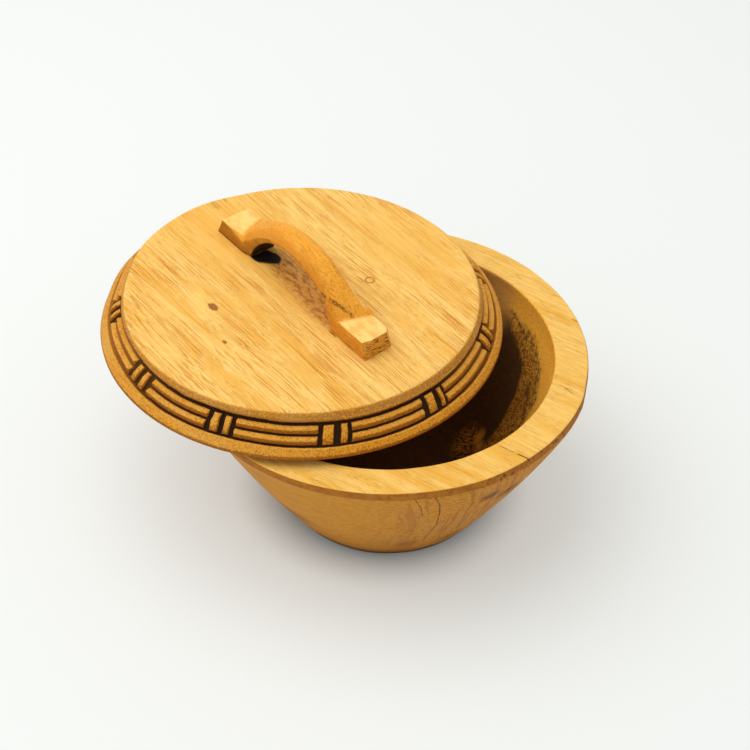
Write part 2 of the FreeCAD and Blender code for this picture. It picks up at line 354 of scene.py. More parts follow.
class Wood:
    # the shared part of a wood: its own axes in mm (x along the grain) and the layers drawn on them

    def __init__(self, name, look):
        self.look = look
        self.material = bpy.data.materials.new(name)
        self.material.use_nodes = True
        self.bench = bench = Bench(self.material.node_tree)
        self.shader = self.material.node_tree.nodes["Principled BSDF"]
        self.place = bench.add("ShaderNodeTexCoord", None, None, "Object")
        self.inFrame = bench.vector("SCALE", self.place, None, 1 / mm)
        self.own = self.seenFrom(look["centre"], (1, 1, 1))
        normal = bench.add("ShaderNodeNewGeometry", None, None, "Normal")
        turn = math.radians(look["grainTurn"])
        self.facing = abs(bench.measured("DOT_PRODUCT", normal, (math.cos(turn), math.sin(turn), 0)))
        self.endGrain = bench.eased(self.facing, 0.35, 0.85)
        self.level = bench.parts(normal)[2]
        self.facingUp = bench.eased(self.level, 0.35, 0.8)
        drift = bench.noise(bench.stretched(self.own, 0.006, 0.02), 1.0, 2.0, 0.5, output=1)
        drift = bench.vector("SUBTRACT", drift, (0.5, 0.5, 0.5))
        self.drifted = bench.vector("ADD", self.own, bench.vector("MULTIPLY", drift, (0.0, 12.0, 12.0)))
        # the same place told as growth rings: along the grain, out from the tree's middle, round it
        along, out, up = bench.parts(self.drifted)
        out, up = out - look["pith"][0], up - look["pith"][1]
        ring = bench.maths("SQRT", out * out + up * up)
        self.rings = bench.joined(along, ring, bench.maths("ARCTAN2", up, out) * math.hypot(*look["pith"]))

    def seenFrom(self, point, sizes):
        # the place, measured from a point in mm of the frame along and across the grain, in these sizes
        settings = {"vector_type": "TEXTURE"}
        sockets = {
            "Vector": self.place,
            "Location": tuple(c * mm for c in point),
            "Rotation": (0, 0, math.radians(self.look["grainTurn"])),
            "Scale": tuple(c * mm for c in sizes),
        }
        return self.bench.add("ShaderNodeMapping", settings, sockets)

    def spot(self, point, along, across):
        # how far from a point, as a share of these reaches along and across the grain
        return self.bench.measured("LENGTH", self.seenFrom(point, (along, across, across)))

    def marks(self, places):
        # soft spots: (point, reach along the grain, reach across it, strength);
        # a point of two numbers lies as high as the wood's centre
        total = 0.0
        for point, along, across, strength in places:
            if len(point) == 2:
                point = (*point, self.look["centre"][2])
            spot = self.bench.eased(self.spot(point, along, across), 1.3, 0.3) * strength
            total = self.bench.maths("MAXIMUM", spot, total)
        return total

    def lines(self, chains, place, wander):
        # a mask along chains of strokes, a little ragged: each (x, y, z, half the width from there on)
        bench = self.bench
        wobble = bench.vector("SUBTRACT", bench.noise(place, 0.35, 3.0, 0.6, output=1), (0.5, 0.5, 0.5))
        here = bench.vector("ADD", place, bench.vector("SCALE", wobble, None, wander))
        total = 0.0
        for chain in chains:
            for (*start, half), (*end, beyond) in zip(chain, chain[1:]):
                way = Vector(end) - Vector(start)
                off = bench.vector("SUBTRACT", here, tuple(start))
                share = bench.measured("DOT_PRODUCT", off, tuple(way / way.length_squared))
                near = bench.vector("SCALE", tuple(way), None, bench.clamped(share))
                gap = bench.measured("DISTANCE", off, near)
                total = bench.maths("MAXIMUM", bench.eased(gap, half * 1.8, half * 0.4), total)
        return total

    def grain(self, along, across, detail, roughness=0.5, up=None, place=None):
        # noise drawn out along the wood: a smaller number draws it out further
        place = self.own if place is None else place
        return self.bench.noise(self.bench.stretched(place, along, across, up), 1.0, detail, roughness)

    def attributes(self, *names):
        kind = "ShaderNodeAttribute"
        return [self.bench.add(kind, {"attribute_name": name}, None, "Fac") for name in names]

    def layered(self, colour, *layers):
        # lays colours over one another by their masks; a colour is a node's or a name in the look
        if isinstance(colour, str):
            colour = self.look[colour]
        for mask, over in layers:
            colour = self.bench.mixed(mask, colour, self.look[over] if isinstance(over, str) else over)
        return colour

    def surface(self):
        # pale wood, warmer bands, cream clouds, brown fibres, fine threads and dark pores
        bench, look = self.bench, self.look
        bands = self.grain(0.008, 0.13, 4.0, 0.6, 0.02, self.rings)
        clouds = self.grain(0.09, 0.16, 4.0, 0.65)
        self.fibres = self.grain(*look["fibre"], 4.0, 0.68, None, self.drifted)
        threads = self.grain(*look["thread"], 3.0, 0.6, None, self.drifted)
        patchy = bench.eased(self.grain(0.022, 0.045, 3.0, 0.6), 0.26, 0.60)
        streaks = bench.eased(self.fibres, 0.50, 0.60) * patchy
        fine = bench.eased(threads, 0.50, 0.62) * (0.30 + 0.70 * patchy)
        dashes = bench.cells(bench.stretched(self.drifted, 0.13, 1.45))
        self.pores = bench.eased(dashes, 0.26, 0.12) * bench.eased(self.grain(0.05, 0.12, 2.0), 0.42, 0.62)
        return self.layered(
            "pale",
            (bench.eased(bands, 0.36, 0.66), "warm"),
            (bench.eased(clouds, 0.50, 0.72) * 0.6, "cream"),
            (streaks * look["streaks"], "deep"),
            (fine * look["streaks"] * 0.75, "deep"),
            (self.pores * 0.5, "pore"),
        )

    def finish(self, colour, roughness, height):
        # the colour and roughness vary over the wood; the height in mm goes to a Bump node
        links = self.material.node_tree.links
        links.new(colour.socket, self.shader.inputs["Base Color"])
        links.new(roughness.socket, self.shader.inputs["Roughness"])
        sockets = {"Strength": 1.0, "Distance": mm, "Height": height}
        bump = self.bench.add("ShaderNodeBump", None, sockets)
        links.new(bump.socket, self.shader.inputs["Normal"])
        self.shader.inputs["Specular IOR Level"].default_value = 0.07
        return self.material


# lines down the hollow: (bearing in degrees, height in mm) where the orange wood ends and the dark begins
sapEdge = [(-180, 70), (-60, 60), (-30, 46), (-15, 50), (-2, 63), (6, 68.5), (9, 72.4), (16, 75), (28, 78),
           (60, 80), (180, 70)]
heartShadeEdge = [(-180, 45), (-60, 28), (-20, 20), (-10, 22), (0, 28), (5, 35), (10, 45), (14, 55), (21, 67),
             (33, 74), (40, 80), (70, 80), (180, 45)]
hollowStreaks = [  # the dark streak that runs down inside the rim at the right
    [(70.0, 54.0, 82.0, 1.6), (78.5, 42.4, 78.1, 3.6), (83.1, 32.3, 78.0, 3.2), (84.6, 24.0, 75.0, 2.6),
     (86.0, 13.5, 72.4, 2.8), (84.9, 8.8, 68.5, 3.0), (82.6, -2.6, 63.1, 0)],
    [(80.5, 14.0, 62.0, 2.2), (76.6, -4.0, 54.0, 0)],
]
# a paler patch and a bright spot on the hollow's floor: a painted pool of light
hollowPaintedPale = [((47.0, 10.0, 23.0), 10.0, 12.0, 1.0)]
hollowPaintedLight = [((54.4, 9.0, 26.6), 3.6, 6.0, 1.0), ((54.0, 2.5, 26.0), 3.2, 5.0, 0.9)]
bowlCracks = [  # lines on the rim and the flank
    [(60.1, -73.0, 98.1, 0.14), (69.0, -78.8, 98.2, 0.3), (74.2, -82.0, 98.0, 0.5), (74.6, -80.4, 94.0, 0)],
    [(102.6, 29.6, 98.2, 0.16), (108.6, 25.0, 98.2, 0)],
    [(93.2, -25.1, 98.2, 0.10), (100.7, -32.9, 98.2, 0)],
    [(27.2, -106.3, 92.7, 0.35), (29.4, -101.6, 83.9, 0.3), (30.0, -94.6, 70.4, 0.25),
     (28.8, -83.9, 50.6, 0.22), (24.6, -75.2, 34.0, 0.2), (21.8, -67.4, 21.0, 0)],
    [(17.0, -108.1, 92.8, 0.2), (20.2, -102.5, 81.6, 0.16), (21.1, -96.3, 69.6, 0)],
]
flankShades = [  # darker, older wood on the flank
    ((-52.0, -62.0, 30.0), 22.0, 12.0, 0.6), ((55.0, -84.0, 74.0), 10.0, 6.0, 0.8),
    ((66.0, -72.0, 66.0), 26.0, 8.0, 0.7), ((40.0, -62.0, 18.0), 30.0, 7.0, 0.6),
    ((14.0, -70.0, 22.0), 14.0, 5.0, 0.45),
]


def hollowWood(wood, speckle):
    # orange under the rim, speckled brown below it, and near-black at the bottom, partly the heartwood's
    # colour and partly painted shade; the mauve back wall is painted shade, and a pale patch and a bright
    # spot on the floor are painted light
    bench = wood.bench
    x, y, z = bench.parts(wood.inFrame)
    bearing = bench.maths("ARCTAN2", y, x) * (180 / math.pi)
    sway = (wood.grain(0.09, 0.09, 5.0, 0.65) - 0.5) * 9.0
    past = bench.readCurve(bearing, sapEdge) - z + sway
    deep = bench.readCurve(bearing, heartShadeEdge) - z + sway
    dots = bench.eased(bench.cells(wood.own, 0.62), 0.34, 0.14)
    rust = bench.eased(wood.grain(0.06, 0.18, 4.0, 0.65), 0.46, 0.66)
    veins = wood.grain(0.25, 0.9, 4.0, 0.65)
    ragged = bench.eased(bench.noise(wood.own, 0.45, 4.0, 0.7), 0.40, 0.60)
    dark = wood.lines(hollowStreaks, wood.inFrame, 7.0) * (0.25 + 0.75 * ragged)
    # the back wall under the lid gets a painted shade in mauve
    back = bench.eased(bearing, 33.0, 44.0) * bench.eased(z, 66.0, 74.0)
    brown = wood.layered(
        "brown",
        (bench.eased(speckle, 0.47, 0.55), "brownDeep"),
        (dots * 0.85, "heart"),
        (rust * 0.55, "brownDeep"),
    )
    heart = wood.layered("heart", (bench.eased(veins, 0.50, 0.75) * 0.5, "brownDeep"))
    return wood.layered(
        "sap",
        (bench.eased(speckle, 0.48, 0.64), "sapDeep"),
        (dots * (0.08 + 0.45 * rust), "brownDeep"),
        (bench.eased(past, -1.0, 4.0) * 0.9, brown),
        (bench.eased(deep, -2.0, 4.0) * 0.95, heart),
        (dark * 0.9, "heart"),
        (back * 0.85, wood.layered("mauve", (veins, "brown"))),
        (wood.marks(hollowPaintedPale) * bench.eased(veins, 0.42, 0.58) * 0.8, "brown"),
        (wood.marks(hollowPaintedLight) * (0.55 + 0.45 * veins), "lit"),
    )


def flankWood(wood, speckle):
    # long brown grain on the left, speckled end grain with arcs of the growth rings at the front and right,
    # and a painted shade that darkens towards the foot
    bench = wood.bench
    fine = wood.grain(0.06, 0.7, 5.0, 0.65, None, wood.drifted)
    arcs = wood.grain(0.03, 0.42, 3.0, 0.6, 0.01, wood.rings)
    bloom = bench.eased(wood.grain(0.01, 0.07, 3.0, 0.5, 0.03, wood.rings), 0.52, 0.72)
    x, y, height = bench.parts(wood.inFrame)
    right = bench.eased(x, -30.0, 50.0)
    return wood.layered(
        "side",
        (bench.eased(fine, 0.42, 0.68) * (0.45 + 0.4 * right), "sideDeep"),
        (bench.eased(arcs, 0.52, 0.62) * right * 0.6, "sideDeep"),
        (wood.endGrain * bench.eased(speckle, 0.52, 0.64) * 0.6, "sideDeep"),
        (bloom * wood.endGrain * 0.5, "bloom"),
        (bench.clamped(wood.marks(flankShades) * (0.3 + 1.2 * fine)), "crack"),
        # painted shade: darker towards the table, and near-black at the foot, which is partly a dark crust
        # and partly a painted contact shadow
        (bench.eased(height, 40.0, 0.0) * 0.55, "sideDeep"),
        (bench.eased(height + (speckle - 0.5) * 6.0, 13.0, 1.0) * 0.9, "crust"),
    )


def makeBowlWood():
    wood = Wood("oiled_bowl_wood", bowlWood)
    bench = wood.bench
    surface = wood.surface()
    flank, hollow, band = wood.attributes("flank", "hollow", "rim_band")
    speckle = bench.noise(wood.own, 0.8, 4.0, 0.75)
    ragged = bench.eased(bench.noise(wood.own, 0.30, 4.0, 0.7), 0.36, 0.62)
    crusty = bench.eased(wood.grain(0.12, 0.5, 4.0, 0.7), 0.54, 0.62)
    right = bench.eased(bench.parts(wood.inFrame)[0], 20.0, 70.0)
    under = wood.layered("edge", (ragged * 0.35, "side"), (crusty * right * 0.8, "crust"))
    crack = wood.lines(bowlCracks, wood.inFrame, 0.9)
    colour = wood.layered(
        surface,
        (flank, flankWood(wood, speckle)),
        (hollow, hollowWood(wood, speckle)),
        (bench.eased(band, 0.2, 0.7) * 0.95, under),
        (crack * 0.8, "crack"),
    )
    height = wood.fibres * 0.10 + wood.pores * -0.12 + speckle * (0.05 + 0.40 * hollow) - crack * 0.4
    roughness = bench.clamped(0.52 + 0.12 * wood.fibres + 0.2 * hollow)
    return wood.finish(colour, roughness, height)


lidMarks = [  # knots and stains on the lid's top
    ((-97.3, 93.7), 7.0, 3.0, 0.5), ((-92.0, 98.6), 4.0, 2.0, 0.4),
    ((-27.5, -16.5), 5.0, 1.3, 0.9), ((-78.0, 40.0), 12.0, 1.5, 0.45),
]
lidStainAndShadow = [  # the reddish strip beside the grip, partly a handling stain and partly a painted shadow of the strap
    ((-58.0, 45.0), 11.0, 8.0, 1.0), ((-51.0, 35.0), 14.0, 10.0, 1.2), ((-45.0, 24.0), 15.0, 9.0, 1.1),
    ((-39.0, 11.0), 18.0, 8.0, 0.75), ((-33.0, -2.0), 14.0, 6.0, 0.75),
]
lidWarmth = [((-95.0, 75.0), 60.0, 34.0, 1.0), ((-42.0, 12.0), 50.0, 16.0, 0.8),
             ((10.0, 60.0), 50.0, 30.0, 0.8)]
# near-black on the lid under the grip's left foot: a painted shadow
lidPaintedShadow = [((-69.5, 48.0), 9.0, 6.0, 1.0), ((-65.5, 47.5), 9.0, 6.5, 1.0), ((-62.0, 46.5), 7.5, 5.0, 1.0)]
lidKnots = [((-91.6, 3.4), 5.0, 3.0, 1.0), ((-83.4, -25.1), 2.4, 1.5, 0.9)]
lidHoop = (-8.6, 28.9, 123.5)  # a small ring, the end of a twig


def makeLidWood():
    wood = Wood("oiled_lid_wood", lidWood)
    bench = wood.bench
    surface = wood.surface()
    carved, band, inked = wood.attributes("carved", "band", "inked")
    speckle = bench.noise(wood.own, 1.0, 4.0, 0.75)
    blur = wood.grain(0.10, 0.6, 4.0, 0.7)
    blotches = bench.eased(wood.grain(0.17, 0.36, 3.0, 0.6), 0.44, 0.60)
    threads = bench.eased(wood.fibres, 0.36, 0.62)
    mark = bench.clamped(wood.marks(lidMarks) * (blur + 0.9 * threads)) * wood.facingUp
    bruise = bench.clamped(wood.marks(lidStainAndShadow) * 1.3) * wood.facingUp
    knots = wood.marks(lidKnots) + (speckle - 0.5) * 1.4
    soot = bench.clamped(wood.marks(lidPaintedShadow) + (blur - 0.5) * 0.35) * wood.facingUp
    hoop = bench.eased(abs(wood.spot(lidHoop, 2.4, 2.4) - 1.0), 0.32, 0.10)
    # painted shade: the band darkens where it faces away from the sky, on the lower sides of the rails
    shaded = bench.eased(wood.level, 0.66, 0.30)
    rough = wood.layered("band", (bench.eased(speckle + 0.16 * shaded, 0.47, 0.63), "bandDeep"))
    cut = carved + (speckle - 0.5) * 0.30
    stained = bench.eased(cut, 0.40, 0.62) * inked
    colour = wood.layered(
        surface,
        (wood.marks(lidWarmth) * 0.55, "warm"),
        (bench.eased(mark, 0.15, 1.0), "handling"),
        (bruise * (0.35 + 0.5 * threads), "bruise"),
        (bruise * blotches * 0.62, "handling"),
        (bench.eased(knots, 0.42, 0.75) * wood.facingUp * 0.85, "handling"),
        (bench.eased(soot, 0.35, 0.75), "soot"),
        (hoop * 0.7 * wood.facingUp, "pore"),
        (band * (0.72 + 0.25 * bench.greatest(wood.endGrain, shaded)), rough),
        # painted shade: faces that look down are darkened, to deepen the gap under the lid
        (bench.eased(wood.level, -0.2, -0.8) * 0.85, "underside"),
        (bench.eased(cut, 0.18, 0.46) * 0.85, "stainEdge"),
        (stained, "stain"),
    )
    height = wood.fibres * 0.08 + wood.pores * -0.10 + speckle * (0.03 + 0.30 * band)
    roughness = bench.clamped(0.48 + 0.12 * wood.fibres + 0.25 * stained)
    return wood.finish(colour, roughness, height)


handleSplits = [  # cracks where the grip runs into its front foot, in the handle's own axes
    [(29.0, -8.0, 18.0, 0.7), (35.4, -6.5, 17.0, 0.8), (41.3, -5.0, 16.2, 0.9), (44.0, -3.2, 14.4, 0.8),
     (46.5, -1.7, 12.0, 0)],
]


def makeHandleWood():
    wood = Wood("oiled_handle_wood", handleWood)
    bench = wood.bench
    surface = wood.surface()
    worn, low, sooty = wood.attributes("worn", "low", "sooty")
    speckle = bench.noise(wood.own, 1.2, 4.0, 0.7)
    dark = wood.layered("shade", (bench.eased(speckle, 0.44, 0.64), "deep"))
    clouds = bench.eased(wood.grain(0.1, 0.2, 3.0, 0.6), 0.35, 0.6)
    sawn = bench.eased(wood.facing, 0.80, 0.95)
    rift = bench.eased(wood.grain(0.9, 0.26, 5.0, 0.65, 1.2), 0.55, 0.62) * sawn
    split = wood.lines(handleSplits, wood.own, 2.6) * bench.eased(speckle, 0.42, 0.56)
    # painted shade low down and on the near side, painted highlight on the feet and the far top edge,
    # painted shadow under the left leg
    colour = wood.layered(
        surface,
        (low * 0.75, dark),
        (worn * (0.55 + 0.45 * clouds), "worn"),
        (sawn * 0.9, "endWood"),
        (rift * 0.75, "split"),
        (sooty * 0.97, "soot"),
        (split * 0.65, "split"),
    )
    height = wood.fibres * 0.10 + wood.pores * -0.1 + speckle * 0.14 - rift * 0.6 - split * 0.4
    roughness = bench.clamped(0.45 + 0.15 * wood.fibres)
    return wood.finish(colour, roughness, height)


# turned and carved pieces: a profile line, swept round by a tree of nodes

def arcPoints(start, end, bulge, steps):
    # from start up to, not including, end; the arc stands out by bulge to the right of its way
    start, end = Vector(start), Vector(end)
    if not bulge:
        return [start.lerp(end, step / steps) for step in range(steps)]
    chord = end - start
    radius = ((chord.length / 2) ** 2 + bulge ** 2) / (2 * abs(bulge))
    side = Vector((chord.y, -chord.x)).normalized() * math.copysign(1, bulge)
    centre = (start + end) / 2 - side * (radius - abs(bulge))
    first = math.atan2(start.y - centre.y, start.x - centre.x)
    sweep = math.atan2(end.y - centre.y, end.x - centre.x) - first
    sweep = (sweep + math.pi) % (2 * math.pi) - math.pi
    angles = [first + sweep * step / steps for step in range(steps)]
    return [centre + Vector((math.cos(angle), math.sin(angle))) * radius for angle in angles]


def drawProfile(stretches):
    # stretches are (start, bulge, steps, marks, corner); returns points and the marks they carry
    points, marks, corners = [], [], []
    for index, stretch in enumerate(stretches):
        if len(stretch) == 1:
            points.append(Vector(stretch[0]))
            marks.append({})
            break
        start, bulge, steps, carried, corner = stretch
        if corner:
            corners.append((len(points), corner))
        stretchPoints = arcPoints(start, stretches[index + 1][0], bulge, steps)
        points += stretchPoints
        marks += [carried] * len(stretchPoints)
    for place, reach in corners:
        softenCorner(points, place, reach)
    return points, marks


def softenCorner(points, place, reach):
    # moves the points within reach of a corner onto a round through it
    corner = points[place].copy()
    before = pointAt(points, place, -1, reach)
    after = pointAt(points, place, 1, reach)
    for i in range(max(1, place - 13), min(len(points) - 1, place + 14)):
        away = (points[i] - corner).length
        if away >= reach:
            continue
        t = 0.5 + math.copysign(away / reach, i - place) * 0.5 if i != place else 0.5
        points[i] = before * (1 - t) ** 2 + corner * 2 * t * (1 - t) + after * t ** 2


def pointAt(points, place, way, reach):
    # the point at this distance along the line from a corner
    here, left = points[place], reach
    index = place + way
    while 0 <= index < len(points):
        step = points[index] - here
        if step.length >= left:
            return here + step * (left / step.length)
        left -= step.length
        here = points[index]
        index += way
    return here


def profileMesh(name, points, marks, names):
    # a line of points in the XZ plane, with its outward direction and its marks as attributes
    mesh = bpy.data.meshes.new(name)
    spots = [(p.x * mm, 0, p.y * mm) for p in points]
    mesh.from_pydata(spots, [(i, i + 1) for i in range(len(spots) - 1)], [])
    outward = mesh.attributes.new("outward", "FLOAT_VECTOR", "POINT")
    for i in range(len(points)):
        way = (points[min(i + 1, len(points) - 1)] - points[max(i - 1, 0)]).normalized()
        outward.data[i].vector = (way.y, 0, -way.x)
    for mark in names:
        layer = mesh.attributes.new(mark, "FLOAT", "POINT")
        for i, carried in enumerate(marks):
            layer.data[i].value = carried.get(mark, 0.0)
    return mesh


class Turning:
    # a tree that sweeps the profile round; the piece's own function sets the depth cut into it

    def __init__(self, name, sizes):
        self.tree = tree = bpy.data.node_groups.new(name, "GeometryNodeTree")
        tree.interface.new_socket(name="Geometry", in_out="INPUT", socket_type="NodeSocketGeometry")
        self.values = {}
        self.socketNames = {}
        for title, value in sizes.items():
            kind = {int: "NodeSocketInt", float: "NodeSocketFloat"}.get(type(value), "NodeSocketMaterial")
            socket = tree.interface.new_socket(name=title, in_out="INPUT", socket_type=kind)
            self.socketNames[title] = socket.identifier
            self.values[title] = value
        tree.interface.new_socket(name="Geometry", in_out="OUTPUT", socket_type="NodeSocketGeometry")
        self.bench = Bench(tree)
        self.source = tree.nodes.new("NodeGroupInput")
        self.result = tree.nodes.new("NodeGroupOutput")
        self.profile = Wire(self.bench, self.source.outputs["Geometry"])
        self.sweep()

    def size(self, title):
        return Wire(self.bench, self.source.outputs[title])

    def sweep(self):
        # a sheet of points: one way round the axis, the other along the profile
        bench = self.bench
        rows = bench.add("GeometryNodeAttributeDomainSize", {"component": "MESH"}, {0: self.profile})
        counts = {"Vertices X": self.size("Columns") + 1.0, "Vertices Y": rows}
        sheet = bench.add("GeometryNodeMeshGrid", None, {"Size X": 1.0, "Size Y": 1.0, **counts})
        across, up, level = bench.parts(bench.add("GeometryNodeInputPosition"))
        sheet = self.stored(sheet, "round_share", across + 0.5)
        self.sheet = self.stored(sheet, "row", (up + 0.5) * (rows - 1.0))
        self.share = self.named("round_share")
        self.row = bench.maths("ROUND", self.named("row"))
        kind = "FLOAT_VECTOR"
        here = self.sampled(bench.add("GeometryNodeInputPosition"), kind)
        self.radius, flat, self.height = bench.parts(here)
        self.outR, flat, self.outZ = bench.parts(self.sampled(self.named("outward", kind), kind))

    def named(self, name, kind="FLOAT"):
        settings = {"data_type": kind}
        return self.bench.add("GeometryNodeInputNamedAttribute", settings, {"Name": name}, "Attribute")

    def sampled(self, value, kind="FLOAT"):
        # a value of the profile, read on the swept sheet
        sockets = {"Geometry": self.profile, "Value": value, "Index": self.row}
        return self.bench.add("GeometryNodeSampleIndex", {"data_type": kind, "clamp": True}, sockets)

    def mark(self, name):
        return self.sampled(self.named(name))

    def stored(self, geometry, name, value):
        settings = {"data_type": "FLOAT", "domain": "POINT"}
        sockets = {"Geometry": geometry, "Name": name, "Value": value}
        return self.bench.add("GeometryNodeStoreNamedAttribute", settings, sockets)

    def around(self, angle):
        # where noise is read: the turned place, moved off by the seed
        bench = self.bench
        place = bench.joined(self.radius * bench.maths("COSINE", angle),
                             self.radius * bench.maths("SINE", angle), self.height)
        return bench.vector("ADD", place, bench.joined(self.size("Seed"), 0.0, 0.0))

    def place(self, angle, depth, marks, reach, lean):
        # puts each point at its angle, sunk by depth, moved out by reach and leant along X, in metres;
        # then closes the seam and the poles
        bench = self.bench
        radius = self.radius - depth * self.outR + reach
        height = self.height - depth * self.outZ
        x = radius * bench.maths("COSINE", angle) + lean
        y = radius * bench.maths("SINE", angle)
        sheet = self.sheet
        for name, value in marks.items():
            sheet = self.stored(sheet, name, value)
        spot = bench.joined(x + self.size("Shift X") * mm, y + self.size("Shift Y") * mm,
                            height + self.size("Shift Z") * mm)
        moved = bench.add("GeometryNodeSetPosition", None, {"Geometry": sheet, "Position": spot})
        closed = bench.add("GeometryNodeMergeByDistance", None, {"Geometry": moved, "Distance": 2e-6})
        smooth = bench.add("GeometryNodeSetShadeSmooth", None, {"Geometry": closed})
        real = bench.add("GeometryNodeRealizeInstances", None, {"Geometry": smooth})
        sockets = {"Geometry": real, "Material": self.size("Wood")}
        dressed = bench.add("GeometryNodeSetMaterial", None, sockets)
        self.tree.links.new(dressed.socket, self.result.inputs[0])

    def make(self, name, profile):
        # evaluates the tree on the profile and keeps the plain mesh
        turnedObject = put(name, profile)
        modifier = turnedObject.modifiers.new("turning", "NODES")
        modifier.node_group = self.tree
        for title, value in self.values.items():
            modifier[self.socketNames[title]] = value
        depsgraph = bpy.context.evaluated_depsgraph_get()
        evaluated = turnedObject.evaluated_get(depsgraph)
        mesh = bpy.data.meshes.new_from_object(evaluated, depsgraph=depsgraph)
        turnedObject.modifiers.remove(modifier)
        turnedObject.data = mesh
        mesh.name = name
        print(name, "made:", len(mesh.vertices), "points,", len(mesh.polygons), "faces")
        return turnedObject


bowl = {
    "rimRadius": 110.0, "rimWidth": 18.8, "rimBand": 5.0, "height": 98.5,
    "footRadius": 56.5, "flankBulge": 2.5, "footRounding": 1.5, "rimRounding": 1.8, "mouthRounding": 1.7,
    "floorRadius": 38.0, "floorHeight": 14.0, "hollowBulge": 9.0, "mouthLand": 8.0,
    "columns": 512, "unevenness": 0.55, "toolMarks": 0.16,
    "lean": 2.7, "leanBetween": (96.5, 84.0),  # the flank and the foot stand this far right of the rim
    "fullFoot": 1.0, "fullRim": 1.2,
    "fullRimAt": [(-180, 0), (-80, 0), (-62, 1), (-26, 1), (-19, 0.9), (-11, 0), (180, 0)],
}


def makeBowl():
    rim, top = bowl["rimRadius"], bowl["height"]
    mouth = rim - bowl["rimWidth"]
    points, marks = drawProfile([
        ((0, 0), 0, 8, {"foot": 1}, 0),
        ((bowl["footRadius"] - 4, 0), 0, 6, {"foot": 1}, 0),
        ((bowl["footRadius"], 0), bowl["flankBulge"], 60, {"flank": 1}, bowl["footRounding"]),
        ((rim, top - bowl["rimBand"]), 0, 8, {"flank": 1, "rim_band": 1}, 2.0),
        ((rim, top), 0, 6, {}, bowl["rimRounding"]),
        ((rim - 3, top), 0, 7, {}, 0),
        ((mouth + 3, top), 0, 7, {}, 0),
        ((mouth, top), 0, 10, {"hollow": 1}, bowl["mouthRounding"]),
        ((mouth, top - bowl["mouthLand"]), -bowl["hollowBulge"], 46, {"hollow": 1}, 4.0),
        ((bowl["floorRadius"], bowl["floorHeight"]), 0, 14, {"hollow": 1}, 10.0),
        ((0, bowl["floorHeight"]),),
    ])
    marks[-1] = {"hollow": 1}
    profile = profileMesh("bowl_profile", points, marks, ["foot", "flank", "rim_band", "hollow"])
    turning = Turning("bowl turning", {
        "Columns": bowl["columns"], "Unevenness": bowl["unevenness"], "Tool marks": bowl["toolMarks"],
        "Lean": bowl["lean"], "Full foot": bowl["fullFoot"], "Full rim": bowl["fullRim"],
        "Shift X": 0.0, "Shift Y": 0.0, "Shift Z": 0.0, "Seed": 3.0, "Wood": makeBowlWood(),
    })
    bench, size = turning.bench, turning.size
    angle = turning.share * (2 * math.pi)
    bearing = bench.wrapped(angle * (180 / math.pi))
    around = turning.around(angle)
    waves = bench.noise(around, 28.0, 2.0)
    chips = bench.cells(bench.vector("MULTIPLY", around, (1.0, 1.0, 1.4)), 85.0)
    flank, foot = turning.mark("flank"), turning.mark("foot")
    depth = (waves * size("Unevenness") + chips * size("Tool marks")) * (1.0 - foot) * mm
    above = turning.height / mm
    lean = (flank + foot) * bench.eased(above, *bowl["leanBetween"]) * size("Lean") * mm
    nearRim = bench.eased(above, 84.0, 92.0) * bench.eased(turning.radius / mm, 100.0, 108.0)
    fullRim = bench.readCurve(bearing, bowl["fullRimAt"]) * size("Full rim") * nearRim
    nearFoot = flank * bench.bump(angle, -90, 70) * bench.eased(above, 34.0, 2.0)
    reach = (fullRim + nearFoot * size("Full foot")) * mm
    carried = {name: turning.mark(name) for name in ("flank", "rim_band", "hollow")}
    turning.place(angle, depth, carried, reach, lean)
    return turning.make("bowl_body", profile)


lid = {
    "centre": (-45.0, 17.0), "seat": 98.5, "turn": -76.9,
    "stepRadius": 91.5, "stepHeight": 4.0, "radius": 109.0, "thickness": 21.0,
    "edgeHeight": 2.0, "topRadius": 95.3, "bevelRun": 2.2, "bevelDrop": 4.5,
    "lowGroove": (5.75, 1.45), "midGroove": (11.45, 1.5), "highGroove": (17.15, 2.0),  # middle, width
    "grooveDepth": 2.3, "railSides": 1.7, "railCrest": 0.1,
    "tieEdge": 0.28,  # half the width, in degrees, over which a tie's side falls
    # one number for each pair of ties, in degrees round the lid
    "tieShift": (-0.45, -0.05, -0.4, -2.2, 0.8, -0.6, 0.5, -0.8, -1.1, -1.4, -1.8),
    "leftBar": (3.2, 3.0, 2.4, 2.0, 2.4, 2.7, 2.2, 2.5, 2.2, 2.1, 2.5),
    "rightBar": (1.9, 1.5, 2.0, 2.0, 2.2, 1.9, 2.1, 2.3, 2.0, 2.1, 2.0),
    "middleGap": (2.1, 1.9, 2.0, 2.0, 2.1, 2.1, 2.1, 2.1, 2.2, 2.0, 1.5),
    "leftGap": (1.4, 1.7, 1.6, 1.6, 1.8, 1.8, 1.8, 2.0, 2.2, 2.2, 1.7),
    "rightGap": (1.3, 1.1, 1.4, 1.5, 1.6, 1.6, 1.7, 1.8, 2.0, 2.0, 1.45),
    "tieLean": (0.9, 0.5, -0.2, 0.0, 0.0, 0.0, 0.3, 0.7, 1.5, 1.0, 0.4),  # from foot to head of a tie
    "tieLength": 10.5,
    "drift": [(0, 0.1), (0.0786, -0.7), (0.25, -0.3), (0.5, 0.2), (0.7675, 1.2), (0.8286, 1.5),
              (0.8897, 0.4), (0.9758, 0.6), (1, 0.1)],  # how the grooves wander up the slope, in mm
    "ink": [(-180, 0.15), (-165, 0.2), (-150, 0.5), (-135, 0.9), (-120, 1), (-44, 1), (-30, 0.7),
            (-11, 0.45), (21, 0.2), (180, 0.15)],
    "bulge": 2.4, "bulgeAt": 142.0,  # the lid isn't quite round
    "columns": 1188, "unevenness": 0.25,
}


